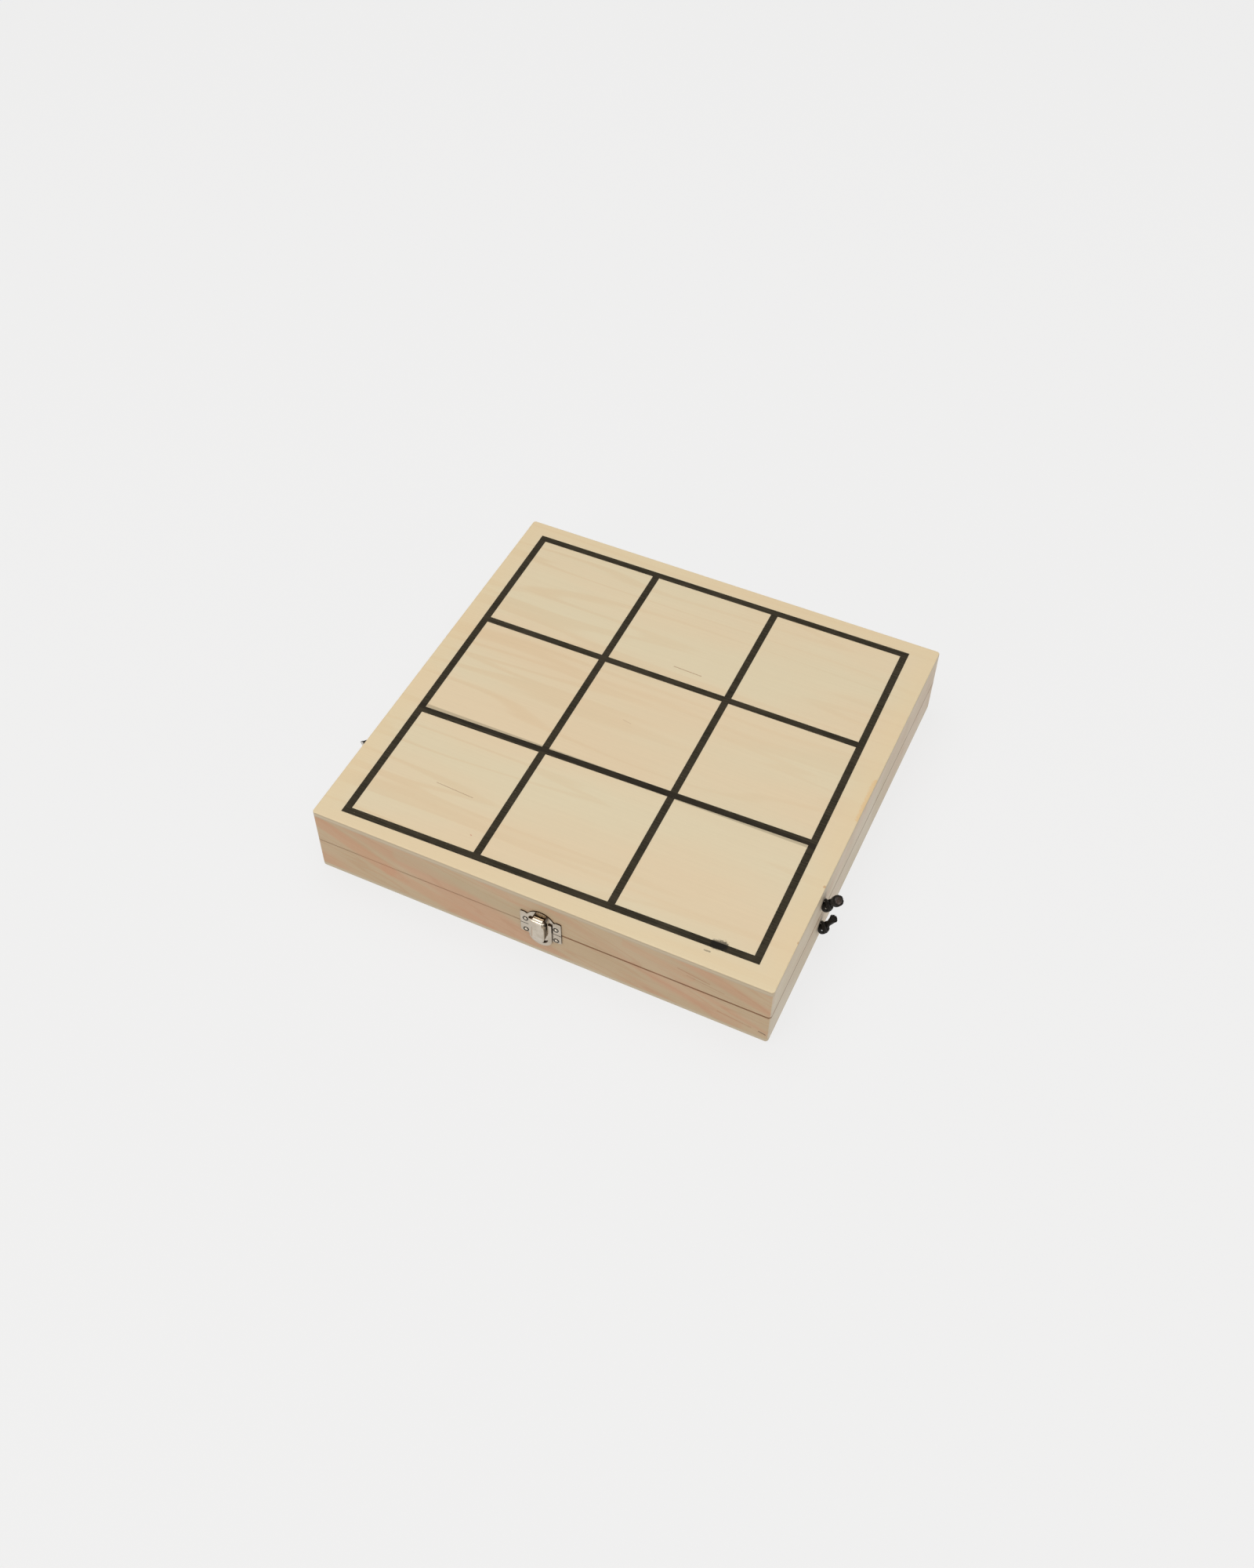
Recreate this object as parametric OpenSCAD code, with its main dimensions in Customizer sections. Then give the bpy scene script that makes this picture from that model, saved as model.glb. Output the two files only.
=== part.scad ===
// Folding wooden board game box: two shallow trays hinged at the back and held
// shut by a nickel hasp at the front. The lid carries a three by three board.
// An elastic cord crosses each tray, and each back rail has a gate, so that the
// opened box is a sling court for its ten pucks.
// Millimetres. Origin: centre of the bottom face. Front is -Y, up is +Z.

/* [Box] */
// Width of the box, along the front
box_w = 300; // [240:1:360]
// Depth of the box, front to back
box_d = 292; // [240:1:360]
// Height of each tray, panel included
tray_h = 26.35; // [22:0.05:40]
// Gap between the closed trays
parting_gap = 0.3; // [0.2:0.05:1]
// Thickness of the plywood panels
panel_t = 4; // [3:0.1:6]
// Thickness of the solid rails
rail_t = 9; // [8:0.1:14]
// Radius of the four upright corners
corner_r = 2; // [1:0.1:7]

/* [Board] */
// Bare margin left and right of the printed board
side_margin = 15.2; // [5:0.1:30]
// Bare margin behind and in front of the printed board
end_margin = 11.1; // [5:0.1:30]
// Distance of the print's middle to the right of the lid's middle
print_shift_x = -1; // [-4:0.5:4]
// Distance of the print's middle behind the lid's middle
print_shift_y = 0; // [-4:0.5:4]
// Extra width of the right column and of the front row
wide_cell = 4; // [0:0.5:8]
// Angle by which the print's columns lean to the left
column_turn = 0.7; // [-1:0.1:1]
// Angle by which the two back lines rise to the right
back_line_turn = 0.3; // [-1:0.1:1.4]
// Angle by which the two front lines rise to the right
front_line_turn = 1.3; // [-1:0.1:1.4]
// Width of a printed line
line_w = 4.7; // [2:0.1:6]
// Thickness of the printed ink
ink_t = 0.12; // [0.1:0.01:0.3]

/* [Sling] */
// Distance from the front of the box to the elastic cords
cord_setback = 80; // [50:1:110]
// Diameter of the stretched elastic cord
cord_dia = 2.4; // [2:0.1:3]
// Diameter of a puck
puck_dia = 28; // [22:0.5:30]
// Thickness of a puck
puck_t = 12; // [8:0.5:14]
// Spacing of the stored pucks
puck_pitch = 36; // [33:0.5:44]
// Distance from the elastic cord back to the first row of pucks
puck_setback = 90; // [60:1:100]
// Room for a puck across each gate
gate_side_play = 8; // [4:0.5:12]
// Room for a puck under the top of each gate
gate_top_play = 2; // [1:0.5:3]

/* [Hinges] */
// Distance from each side of the box to the middle of its hinge
hinge_inset = 50; // [30:1:60]
// Length of a hinge
hinge_l = 26; // [20:0.5:40]
// Height of a hinge leaf above the knuckle
leaf_h = 10; // [8:0.5:12]
// Thickness of the hinge and hasp sheet
sheet_t = 0.8; // [0.6:0.05:1]
// Radius of a hinge pin
hinge_pin_r = 0.8; // [0.6:0.05:1]

/* [Hasp] */
// Distance of the hasp to the right of the middle
hasp_x = 4.5; // [-20:0.5:20]
// Width of the hasp plates
hasp_w = 26.8; // [26:0.1:32]
// Height of the hasp pin above the parting line
hasp_pin_z = 10.6; // [10.2:0.1:11.5]
// Width of the swinging tongue
tongue_w = 8; // [7:0.1:9]
// Length of the tongue below its pin
tongue_l = 19; // [18:0.1:22]
// Radius of the hasp pin
hasp_pin_r = 0.7; // [0.6:0.05:0.9]

/* [Hidden] */
$fn = 48;
running_gap = 0.05;
sliding_gap = 0.4;
knuckle_clear = 0.15;
overcut = 1;

parting_z = tray_h + parting_gap / 2;
rim_z = parting_z - panel_t;
box_h = 2 * tray_h + parting_gap;
rail_h = tray_h - panel_t;
side_x = box_w / 2;
front_y = -box_d / 2;
back_y = box_d / 2;

cord_y = front_y + cord_setback;
cord_z = panel_t + rail_h / 2;
lid_cord_z = box_h - cord_z;
cord_hole_r = cord_dia / 2 + 0.2;

hinge_x = side_x - hinge_inset;
hinge_knuckle_r = hinge_pin_r + sheet_t;
hinge_y = back_y + hinge_knuckle_r + knuckle_clear;
knuckles = 5;
screw_r = 1;
screw_head_r = 2.1;
screw_head_h = hinge_y - back_y - sheet_t - 0.2;
screw_l = 6;
screw_edge = 5.5;
screw_x = hinge_l / 2 - screw_edge;
screw_drop = (leaf_h + hinge_knuckle_r) / 2;

tack_r = 0.6;
tack_head_r = 1.15;
tack_head_h = 0.55;
tack_l = 6;
tack_edge = 3.4;
tack_x = hasp_w / 2 - tack_edge;

puck_count = 5;
light_row_y = cord_y + puck_setback;
dark_row_y = light_row_y + puck_pitch;
gate_w = puck_dia + gate_side_play;
gate_h = puck_t + gate_top_play;

PUCKS = [for (i = [1:puck_count]) i];

// Box outline seen from above, with its rounded upright corners.
module box_outline() {
    square([box_w - 2 * corner_r, box_d], center = true);
    square([box_w, box_d - 2 * corner_r], center = true);
    for (x = [-1, 1], y = [-1, 1])
        translate([x * (side_x - corner_r), y * (back_y - corner_r)]) circle(corner_r);
}

module panel() {
    color("burlywood") linear_extrude(panel_t) box_outline();
}

// Rail along the front. Its ends are cut at 45 degrees, so that grain meets grain at
// the corners, and rounded with the box.
module end_rail() {
    color("tan") linear_extrude(rail_h) intersection() {
        box_outline();
        polygon([[-side_x, front_y], [side_x, front_y],
                 [side_x - rail_t, front_y + rail_t], [-side_x + rail_t, front_y + rail_t]]);
    }
}

// Gate in a back rail, open onto the tray's floor, with rounded upper corners.
module gate_cut() {
    gate_r = 4;
    translate([0, back_y - rail_t - overcut, 0]) mirror([0, 1, 0]) rotate([90, 0, 0])
        linear_extrude(rail_t + 2 * overcut) {
            translate([-gate_w / 2, -overcut]) square([gate_w, gate_h - gate_r + overcut]);
            translate([-gate_w / 2 + gate_r, -overcut]) square([gate_w - 2 * gate_r, gate_h + overcut]);
            for (x = [-1, 1]) translate([x * (gate_w / 2 - gate_r), gate_h - gate_r]) circle(gate_r);
        }
}

// Front rail of a tray. Its tack holes match the hasp plate that it carries.
module front_rail(tack_z) {
    difference() {
        end_rail();
        hasp_tack_places(tack_z) tack_hole();
    }
}

module back_rail() {
    difference() {
        mirror([0, 1, 0]) end_rail();
        gate_cut();
        for (x = [-1, 1]) translate([x * hinge_x, 0, 0])
            hinge_screw_places(rim_z - screw_drop) screw_hole();
    }
}

// Rail along one side, mitred to the end rails and drilled for the elastic cord.
module side_rail(side) {
    color("tan") difference() {
        linear_extrude(rail_h) intersection() {
            box_outline();
            polygon([[side * side_x, front_y], [side * side_x, back_y],
                     [side * (side_x - rail_t), back_y - rail_t], [side * (side_x - rail_t), front_y + rail_t]]);
        }
        translate([side * (side_x - rail_t / 2), cord_y, cord_z - panel_t]) rotate([0, 90, 0])
            cylinder(r = cord_hole_r, h = rail_t + 2 * overcut, center = true);
    }
}

// Lays a base piece into the lid: the lid is the base turned over.
module in_lid() {
    translate([0, 0, box_h]) mirror([0, 0, 1]) children();
}

module in_base() {
    translate([0, 0, panel_t]) children();
}

// Where a line that crosses the X axis at x meets one that crosses the Y axis at y.
function meet(x, y, turn) =
    let (along = (x - tan(column_turn) * y) / (cos(turn) + tan(column_turn) * sin(turn)))
        [along * cos(turn), y + along * sin(turn)];

// Printed square of three by three cells, with its lines as far out of true as they
// are on the real lid.
module board_print() {
    half = line_w / 2;
    column_pitch = (box_w - 2 * side_margin - line_w - wide_cell) / 3;
    row_pitch = (box_d - 2 * end_margin - line_w - wide_cell) / 3;
    first_x = side_margin + half - side_x;
    first_y = back_y - end_margin - half;
    xs = [for (i = [0:3]) first_x + i * column_pitch + (i == 3 ? wide_cell : 0)];
    ys = [for (i = [0:3]) first_y - i * row_pitch - (i == 3 ? wide_cell : 0)];
    turns = [back_line_turn, back_line_turn, front_line_turn, front_line_turn];
    color([0.2, 0.17, 0.13]) translate([print_shift_x, print_shift_y, box_h]) linear_extrude(ink_t) difference() {
        polygon([for (k = [[0, 0], [3, 0], [3, 3], [0, 3]])
            meet(xs[k[0]] + (k[0] > 0 ? half : -half), ys[k[1]] + (k[1] > 0 ? -half : half), turns[k[1]])]);
        for (i = [0:2], j = [0:2]) polygon([for (k = [[0, 0], [1, 0], [1, 1], [0, 1]])
            meet(xs[i + k[0]] + (k[0] > 0 ? -half : half), ys[j + k[1]] + (k[1] > 0 ? half : -half), turns[j + k[1]])]);
    }
}

// An overhand knot's turns follow a trefoil: a curve that goes twice round the cord's
// axis while it swings three times in and out, and three times up and down.
knot_cord_r = 0.44 * cord_dia;
knot_spread = 1.056 * cord_dia;
knot_swing = 0.484 * cord_dia;
knot_lift = 0.836 * cord_dia;
knot_rise = knot_lift + knot_cord_r + 0.1;
knot_steps = 72;
knot_sides = 8;

function knot_reach(a) = knot_spread + knot_swing * cos(3 * a);
function knot_point(a) = [knot_reach(a) * cos(2 * a), knot_reach(a) * sin(2 * a), knot_lift * sin(3 * a)];
function knot_heading(a) = [
    -3 * knot_swing * sin(3 * a) * cos(2 * a) - 2 * knot_reach(a) * sin(2 * a),
    -3 * knot_swing * sin(3 * a) * sin(2 * a) + 2 * knot_reach(a) * cos(2 * a),
    3 * knot_lift * cos(3 * a)];
function unit(v) = v / norm(v);

// Knot round the Z axis, as a closed tube of triangles.
module knot() {
    rings = [for (i = [0:knot_steps - 1])
        let (a = 360 * i / knot_steps, ahead = unit(knot_heading(a)),
             across = unit(cross([0, 0, 1], ahead)), over = cross(ahead, across))
            for (j = [0:knot_sides - 1])
                let (b = 360 * j / knot_sides) knot_point(a) + knot_cord_r * (cos(b) * across + sin(b) * over)];
    faces = [for (i = [0:knot_steps - 1], j = [0:knot_sides - 1])
        let (k = (i + 1) % knot_steps, m = (j + 1) % knot_sides,
             p = i * knot_sides + j, q = i * knot_sides + m, r = k * knot_sides + m, t = k * knot_sides + j)
            each [[p, r, q], [p, t, r]]];
    polyhedron(rings, faces);
}

// Cut end of a cord that points along v, where its braid has spread open to flare_r.
module tail(v, flare_r) {
    rotate([0, acos(v.z / norm(v)), atan2(v.y, v.x)])
        cylinder(r1 = knot_cord_r, r2 = flare_r, h = norm(v), $fn = 32);
}

// Elastic cord across a tray, knotted outside each side rail. Each tail is given as
// its end's place outwards, back and up from the middle of its knot, and its flare.
module elastic(z, left_tail, right_tail) {
    color([0.08, 0.07, 0.06]) translate([0, cord_y, z]) {
        rotate([0, 90, 0]) cylinder(d = cord_dia, h = box_w + 2 * knot_rise, center = true);
        for (end = [[-1, left_tail], [1, right_tail]]) translate([end[0] * (side_x + knot_rise), 0, 0]) {
            rotate([0, 90, 0]) knot();
            tail([end[0] * end[1][0], end[1][1], end[1][2]], end[1][3]);
        }
    }
}

// Puck with rounded rims, its centre at the origin of its floor.
module puck(tone) {
    rim_r = 1.5;
    color(tone) rotate_extrude() {
        square([puck_dia / 2 - rim_r, puck_t]);
        translate([0, rim_r]) square([puck_dia / 2, puck_t - 2 * rim_r]);
        for (z = [rim_r, puck_t - rim_r]) translate([puck_dia / 2 - rim_r, z]) circle(rim_r);
    }
}

module stored_puck(i, row_y, tone) {
    translate([(i - (puck_count + 1) / 2) * puck_pitch, row_y, panel_t]) puck(tone);
}

// Places two screws across a hinge leaf, on the back of the box, z above the rail's foot.
module hinge_screw_places(z) {
    for (x = [-1, 1]) translate([x * screw_x, back_y, z]) rotate([90, 0, 0]) children();
}

module screw_hole() {
    translate([0, 0, -overcut]) cylinder(r = screw_r + running_gap, h = screw_l + overcut + running_gap);
}

// Domed screw, driven along +Z, its head standing off by the leaf's thickness.
module screw(stand_off, shaft_r, head_r, head_h, length) {
    dome_r = (head_r * head_r + head_h * head_h) / (2 * head_h);
    cylinder(r = shaft_r, h = length);
    translate([0, 0, -stand_off]) cylinder(r = shaft_r, h = stand_off);
    translate([0, 0, -stand_off]) intersection() {
        translate([0, 0, dome_r - head_h]) sphere(dome_r);
        translate([0, 0, -head_h]) cylinder(r = head_r, h = head_h);
    }
}

// Hinge half. Knuckles with an even number belong to the base, the others to the lid.
module hinge_half(first) {
    knuckle_l = hinge_l / knuckles;
    knuckle_gap = 0.2;
    leaf_foot = hinge_knuckle_r + 0.3;
    color("silver") difference() {
        union() {
            translate([-hinge_l / 2, back_y, -leaf_h]) cube([hinge_l, sheet_t, leaf_h - leaf_foot]);
            for (k = [first:2:knuckles - 1]) translate([(k - knuckles / 2) * knuckle_l + knuckle_gap / 2, 0, 0]) {
                length = knuckle_l - knuckle_gap;
                translate([0, hinge_y, 0]) rotate([0, 90, 0]) cylinder(r = hinge_knuckle_r, h = length);
                translate([0, back_y, -leaf_foot - overcut]) cube([length, sheet_t, leaf_foot + overcut]);
            }
        }
        translate([0, hinge_y, 0]) rotate([0, 90, 0])
            cylinder(r = hinge_pin_r + running_gap, h = hinge_l + 2 * overcut, center = true);
        hinge_screw_places(-screw_drop) translate([0, 0, -2 * overcut])
            cylinder(r = screw_r + running_gap, h = 4 * overcut);
    }
}

module at_hinge(side) {
    translate([side * hinge_x, 0, parting_z]) children();
}

module base_leaf() {
    hinge_half(0);
}

module lid_leaf() {
    mirror([0, 0, 1]) hinge_half(1);
}

module hinge_pin() {
    color("silver") translate([0, hinge_y, 0]) rotate([0, 90, 0])
        cylinder(r = hinge_pin_r, h = hinge_l, center = true);
}

module leaf_screws() {
    color("silver") hinge_screw_places(-screw_drop)
        screw(sheet_t, screw_r, screw_head_r, screw_head_h, screw_l);
}

// Hasp pieces are drawn seen from the front, with their origin on the parting
// line at the face of the box, then stood upright: x is right, y is up, z is out.
hasp_upper_z = 11;
boss_w = 15;
boss_top = 7.8;
boss_drop = 7.5;
boss_out = 1.8;
boss_ring = 2.4;
roll_r = 2.3;
roll_clear = 0.2;
hasp_pin_out = sheet_t + roll_clear + roll_r;
roll_w = 6.3;
lug_t = 0.8;
lug_r = 1.7;
lug_clear = 0.1;
neck_y = -lug_r - 0.7;
flare_y = neck_y - 2.2;
tack_z = 4.5;
lower_tack_z = 6.2;

module at_hasp() {
    translate([hasp_x, front_y, parting_z]) rotate([90, 0, 0]) children();
}

module hasp_tack_places(z) {
    for (x = [-1, 1]) translate([hasp_x + x * tack_x, front_y, z]) rotate([-90, 0, 0]) children();
}

module tack_hole() {
    translate([0, 0, -overcut]) cylinder(r = tack_r + running_gap, h = tack_l + overcut + running_gap);
}

// Outline of the lid plate: two ears and an arch, notched where they meet.
module lid_plate_outline() {
    arch_half = 8.3;
    arch_rise = 15.7;
    arch_h = arch_rise - hasp_upper_z + 0.4;
    arch_r = (arch_half * arch_half + arch_h * arch_h) / (2 * arch_h);
    ear_r = 1;
    difference() {
        union() {
            translate([-hasp_w / 2, 0.05]) square([hasp_w, hasp_upper_z - ear_r - 0.05]);
            translate([-hasp_w / 2 + ear_r, 0.05]) square([hasp_w - 2 * ear_r, hasp_upper_z - 0.05]);
            for (x = [-1, 1]) translate([x * (hasp_w / 2 - ear_r), hasp_upper_z - ear_r]) circle(ear_r);
            intersection() {
                translate([0, arch_rise - arch_r]) circle(arch_r, $fn = 96);
                translate([-hasp_w / 2, 2]) square([hasp_w, arch_rise]);
            }
        }
        for (x = [-1, 1]) translate([x * (arch_half + 0.7), hasp_upper_z + 0.2]) circle(0.9);
        translate([-boss_w / 2 - sliding_gap, -overcut]) square([boss_w + 2 * sliding_gap, boss_top + 0.3 + overcut]);
    }
}

module lid_plate() {
    color("silver") difference() {
        union() {
            linear_extrude(sheet_t) lid_plate_outline();
            for (x = [-1, 1]) translate([x * (roll_w / 2 + lug_clear + lug_t / 2), hasp_pin_z, 0]) {
                translate([-lug_t / 2, -lug_r, 0]) cube([lug_t, 2 * lug_r, hasp_pin_out]);
                translate([0, 0, hasp_pin_out]) rotate([0, 90, 0]) cylinder(r = lug_r, h = lug_t, center = true);
            }
        }
        translate([0, hasp_pin_z, hasp_pin_out]) rotate([0, 90, 0])
            cylinder(r = hasp_pin_r + running_gap, h = hasp_w, center = true);
        for (x = [-1, 1]) translate([x * tack_x, tack_z, -overcut])
            cylinder(r = tack_r + running_gap, h = sheet_t + 2 * overcut);
    }
}

// Outline of the raised boss, rounded below, set in by the given margin.
module boss_outline(margin) {
    half = boss_w / 2 - margin;
    translate([-half, -boss_drop]) square([2 * half, boss_drop + boss_top - margin]);
    translate([0, -boss_drop]) circle(half);
}

// Floor of the boss, inside its raised ring, which is open at the top.
module boss_floor() {
    half = boss_w / 2 - boss_ring;
    translate([-half, -boss_drop]) square([2 * half, boss_drop + boss_top + overcut]);
    translate([0, -boss_drop]) circle(half);
}

// Base plate: two ears and a pressed ring, open above, round the catch.
module base_plate() {
    ear_low = -8.4;
    ear_r = 1;
    catch_w = 4;
    catch_h = 3;
    catch_out = 3.6;
    color("silver") difference() {
        union() {
            linear_extrude(sheet_t) {
                translate([-hasp_w / 2, ear_low + ear_r]) square([hasp_w, -ear_low - ear_r - 0.05]);
                translate([-hasp_w / 2 + ear_r, ear_low]) square([hasp_w - 2 * ear_r, ear_r]);
                for (x = [-1, 1]) translate([x * (hasp_w / 2 - ear_r), ear_low + ear_r]) circle(ear_r);
            }
            linear_extrude(boss_out) difference() {
                boss_outline(0);
                boss_floor();
            }
            linear_extrude(sheet_t) boss_outline(0);
            translate([-catch_w / 2, -catch_h - 2, 0]) cube([catch_w, catch_h, catch_out]);
        }
        translate([-boss_w, 0, -overcut]) cube([2 * boss_w, boss_top + overcut, overcut + 0.3]);
        for (x = [-1, 1]) translate([x * tack_x, -lower_tack_z, -overcut])
            cylinder(r = tack_r + running_gap, h = sheet_t + 2 * overcut);
    }
}

// Face of the tongue seen from the front, from its pin down, set in by the margin.
module tongue_outline(margin) {
    half = tongue_w / 2 - margin;
    neck = roll_w / 2 - margin;
    tip_y = -tongue_l + tongue_w / 2;
    translate([-neck, neck_y]) square([2 * neck, 0.6 - neck_y]);
    polygon([[-neck, neck_y], [-half, flare_y], [-half, tip_y], [half, tip_y], [half, flare_y], [neck, neck_y]]);
    translate([0, tip_y]) circle(half);
}

// Side of the tongue: flat face that bends in towards its tip.
module tongue_side(margin) {
    tongue_back = -1.7;
    tip_out = 1.3;
    bend_y = -13;
    reach = tongue_l + overcut;
    back = margin > 0 ? tongue_back - overcut : tongue_back;
    rotate([90, 0, 90]) translate([0, 0, -tongue_w]) linear_extrude(2 * tongue_w)
        polygon([[0.6, back], [0.6, roll_r - margin], [bend_y, roll_r - margin],
                 [-tongue_l, tip_out - margin], [-reach, tip_out - margin], [-reach, back]]);
}

// Face of the tongue below its neck, with a chamfer round its front edge.
module tongue_face() {
    chamfer = 0.8;
    low = 3 * roll_r;
    hull() for (edge = [0, chamfer]) translate([0, 0, -low]) linear_extrude(low + roll_r - chamfer + edge)
        intersection() {
            tongue_outline(edge);
            translate([-tongue_w, -tongue_l - overcut]) square([2 * tongue_w, tongue_l + overcut + neck_y - edge]);
        }
}

// Swinging tongue: a pressed shell under a rolled knuckle, open behind.
module tongue() {
    press_t = 0.7;
    slot_w = 5;
    color("silver") translate([0, hasp_pin_z, hasp_pin_out]) difference() {
        union() {
            difference() {
                intersection() {
                    union() {
                        tongue_face();
                        translate([-roll_w / 2, neck_y - overcut, -roll_r]) cube([roll_w, overcut + 0.6 - neck_y, 2 * roll_r]);
                    }
                    tongue_side(0);
                }
                intersection() {
                    translate([0, 0, -2 * roll_r]) linear_extrude(4 * roll_r) tongue_outline(press_t);
                    tongue_side(press_t);
                }
                translate([-slot_w / 2, -tongue_l - overcut, -2 * roll_r])
                    cube([slot_w, tongue_w / 2, 2 * roll_r + 0.6]);
            }
            rotate([0, 90, 0]) cylinder(r = roll_r, h = roll_w, center = true);
        }
        rotate([0, 90, 0]) cylinder(r = hasp_pin_r + running_gap, h = 2 * roll_w, center = true);
    }
}

module hasp_pin() {
    color("silver") translate([0, hasp_pin_z, hasp_pin_out]) rotate([0, 90, 0])
        cylinder(r = hasp_pin_r, h = roll_w + 2 * lug_t + 0.8, center = true);
}

module hasp_tacks(z) {
    color("silver") for (x = [-1, 1]) translate([x * tack_x, z, 0]) mirror([0, 0, 1])
        screw(sheet_t, tack_r, tack_head_r, tack_head_h, tack_l);
}

panel();  // base_panel
in_base() front_rail(rim_z - lower_tack_z);  // base_front_rail
in_base() back_rail();  // base_back_rail
in_base() side_rail(-1);  // base_left_rail
in_base() side_rail(1);  // base_right_rail
in_lid() panel();  // lid_panel
in_lid() in_base() front_rail(rim_z - tack_z);  // lid_front_rail
in_lid() in_base() back_rail();  // lid_back_rail
in_lid() in_base() side_rail(-1);  // lid_left_rail
in_lid() in_base() side_rail(1);  // lid_right_rail
board_print();
elastic(cord_z, [6, -2, 6, 2.4], [5.2, 3, 8, 2.8]);  // base_elastic
elastic(lid_cord_z, [9, -7, -5.6, 2.4], [6.3, -1.6, 10, 3.3]);  // lid_elastic
at_hasp() lid_plate();  // hasp_lid_plate
at_hasp() base_plate();  // hasp_base_plate
at_hasp() tongue();  // hasp_tongue
at_hasp() hasp_pin();
at_hasp() hasp_tacks(tack_z);  // hasp_lid_tacks
at_hasp() hasp_tacks(-lower_tack_z);  // hasp_base_tacks
for (side = [-1, 1]) {
    name = side < 0 ? "left_hinge_" : "right_hinge_";
    at_hinge(side) base_leaf();
    at_hinge(side) lid_leaf();
    at_hinge(side) hinge_pin();
    at_hinge(side) leaf_screws();
    at_hinge(side) mirror([0, 0, 1]) leaf_screws();
}
for (i = PUCKS) {
    stored_puck(i, light_row_y, "wheat");
    stored_puck(i, dark_row_y, [0.13, 0.12, 0.11]);
}
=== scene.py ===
# %% [markdown]
# # A folding wooden game box
#
# The real object is two shallow trays of pine with plywood panels, hinged at
# the back and held shut by a small nickel hasp. The measured pieces come from
# the imported frame, where they already have their real size and place. This
# file gives each of them its finish, and adds what is too fine for the frame:
# sanded panel edges, the braid and the cut ends of the cords, painted shade
# round the hasp's tacks and between its plates, and the cross recesses of the
# hinge screws, painted dark as shade.

# %% Load the frame
import random
from math import cos, pi, radians, sin, tau

import bmesh
import bpy
from mathutils import Matrix, Vector


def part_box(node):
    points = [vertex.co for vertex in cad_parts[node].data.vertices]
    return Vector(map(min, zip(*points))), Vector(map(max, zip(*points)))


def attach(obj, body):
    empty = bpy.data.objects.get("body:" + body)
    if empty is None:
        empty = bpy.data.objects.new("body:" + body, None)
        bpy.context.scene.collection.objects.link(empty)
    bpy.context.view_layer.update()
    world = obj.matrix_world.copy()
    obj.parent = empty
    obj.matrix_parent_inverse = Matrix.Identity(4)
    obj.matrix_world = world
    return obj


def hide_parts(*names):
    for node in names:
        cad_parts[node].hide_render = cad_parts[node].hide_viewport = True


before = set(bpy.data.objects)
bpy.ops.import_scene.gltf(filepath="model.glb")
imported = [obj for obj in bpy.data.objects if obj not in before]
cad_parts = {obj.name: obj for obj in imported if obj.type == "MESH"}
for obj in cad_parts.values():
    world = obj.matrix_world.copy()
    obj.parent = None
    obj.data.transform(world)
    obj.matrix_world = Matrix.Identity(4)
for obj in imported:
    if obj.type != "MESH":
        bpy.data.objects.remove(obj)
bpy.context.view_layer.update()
MM = 0.001
print("nodes in the frame:", len(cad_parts))

# %% [markdown]
# ## The measuring points
#
# The added pieces take their places from the frame's own pieces. Only a cord's
# distance from the middle and the marks on the wood are measured in the
# photograph. The origin is the middle of the box's underside.

# %% Read the main sizes
lid_low, lid_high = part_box("lid_panel")
HALF_W = lid_high.x
HALF_D = lid_high.y
BOX_H = lid_high.z
PANEL_T = lid_high.z - lid_low.z
PARTING_Z = BOX_H / 2
print("wooden box in mm:", [round(v / MM, 2) for v in (2 * HALF_W, 2 * HALF_D, BOX_H)])

# %% [markdown]
# ## The camera
#
# A product photograph like this one is taken from above the front right
# corner. The camera was solved from the corners of the box: once its distance
# and focal length are right, all of the box's edges fall on the photographed
# ones. A lens of about 37 mm at 1.1 m gives the strong perspective.

# %% Place the camera
CAMERA_PLACE = Vector((0.2786, -0.6214, 0.8178))
CAMERA_LOOKS = Vector((-0.26787, 0.58009, -0.76925))
CAMERA_ROLL = radians(0.5912)
CAMERA_SENSOR = 36
CAMERA_LENS = 37.33
camera_data = bpy.data.cameras.new("camera")
camera_data.sensor_width = CAMERA_SENSOR
camera_data.lens = CAMERA_LENS
camera = bpy.data.objects.new("camera", camera_data)
scene = bpy.context.scene
scene.collection.objects.link(camera)
aim = CAMERA_LOOKS.to_track_quat("-Z", "Y").to_matrix().to_4x4()
camera.matrix_world = Matrix.Translation(CAMERA_PLACE) @ aim @ Matrix.Rotation(CAMERA_ROLL, 4, "Z")
scene.camera = camera
print("camera distance in mm:", round(CAMERA_PLACE.length / MM))

# %% [markdown]
# ## Floor, sky and lamps
#
# The photograph has an even, pale backdrop. A large floor that mostly glows by
# itself keeps the shadows faint, as a lit studio sweep does. The sky is bright
# overhead, dim and brown at half height, and pale again at the horizon. Wood
# hardly shows the difference, but nickel needs dark places to mirror, or it
# looks like grey paint.

# %% Make the studio
scene.view_settings.view_transform = "Standard"
FLOOR_HALF = 6.0
FLOOR_DROP = 0.4 * MM
FLOOR_GREY = 0.12
FLOOR_GLOW = 0.755
floor_mesh = bpy.data.meshes.new("floor")
floor_signs = ((-1, -1), (1, -1), (1, 1), (-1, 1))
floor_corners = [(x * FLOOR_HALF, y * FLOOR_HALF, 0) for x, y in floor_signs]
floor_mesh.from_pydata(floor_corners, [], [(0, 1, 2, 3)])
floor = bpy.data.objects.new("floor", floor_mesh)
floor.location.z = -FLOOR_DROP
scene.collection.objects.link(floor)
floor_material = bpy.data.materials.new("studio floor")
floor_material.use_nodes = True
floor_sockets = floor_material.node_tree.nodes["Principled BSDF"].inputs
floor_sockets["Base Color"].default_value = (FLOOR_GREY, FLOOR_GREY, FLOOR_GREY, 1)
floor_sockets["Roughness"].default_value = 0.9
floor_sockets["Specular IOR Level"].default_value = 0.0
floor_sockets["Emission Color"].default_value = (1.0, 1.0, 1.0, 1)
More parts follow.
